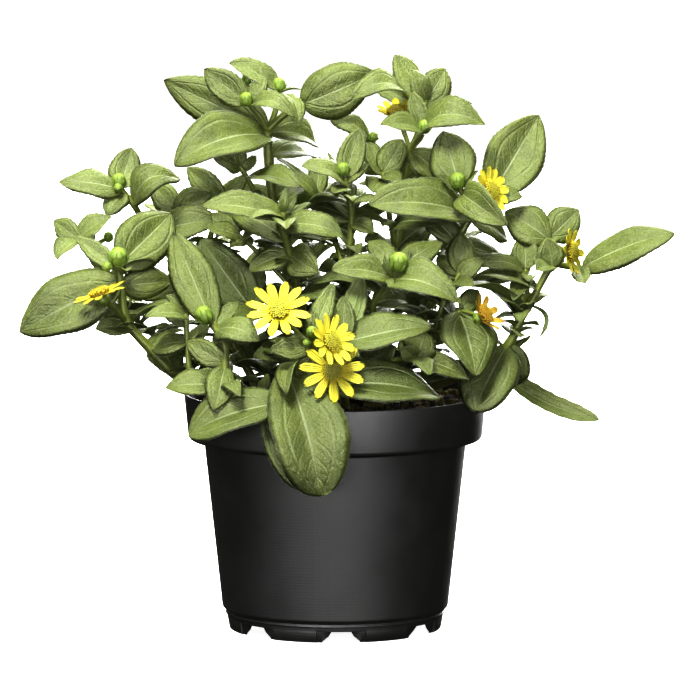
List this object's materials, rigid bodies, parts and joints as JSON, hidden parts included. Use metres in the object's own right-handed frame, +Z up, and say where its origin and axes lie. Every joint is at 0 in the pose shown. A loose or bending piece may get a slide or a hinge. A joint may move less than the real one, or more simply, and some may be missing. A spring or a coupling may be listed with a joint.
{
  "type": "potted creeping zinnia",
  "caption": "Low branching flowering plant with opposite pointed leaves and small yellow daisy blooms, in a round tapered nursery pot filled with soil.",
  "frame": {"origin": "middle of the ring of foot on which the pot stands, on the pot's axis at the level of the surface below", "axes": "+Z up along the pot's axis, -Y towards the front of the plant, +X to the right as it is seen from the front"},
  "size_m": [0.2582, 0.1765, 0.228],
  "materials": {
    "pot": "matte, slightly satin",
    "soil": "crumbly",
    "foliage": "soft satin with fine hairs",
    "petals": "matte"
  },
  "bodies": {
    "root": {"pot": "pot", "soil": "soil", "stem_far_left": "foliage", "stem_upper_left": "foliage", "stem_tall": "foliage", "stem_top_right": "foliage", "stem_middle": "foliage", "stem_centre": "foliage", "stem_front_left": "foliage", "stem_front": "foliage", "stem_mid_right": "foliage", "stem_inner_right": "foliage", "stem_shoulder": "foliage", "stem_right": "foliage", "stem_back_left": "foliage", "stem_low_left": "foliage", "stem_back_middle": "foliage", "stem_back_top": "foliage", "stem_back_right": "foliage", "stem_low_back": "foliage", "bloom_front_left": "petals", "bloom_front_upper": "petals", "bloom_front_lower": "petals", "bloom_far_left": "petals", "bloom_top": "petals", "bloom_shoulder": "petals", "bloom_right": "petals", "bloom_fading": "petals"}
  },
  "joints": []
}
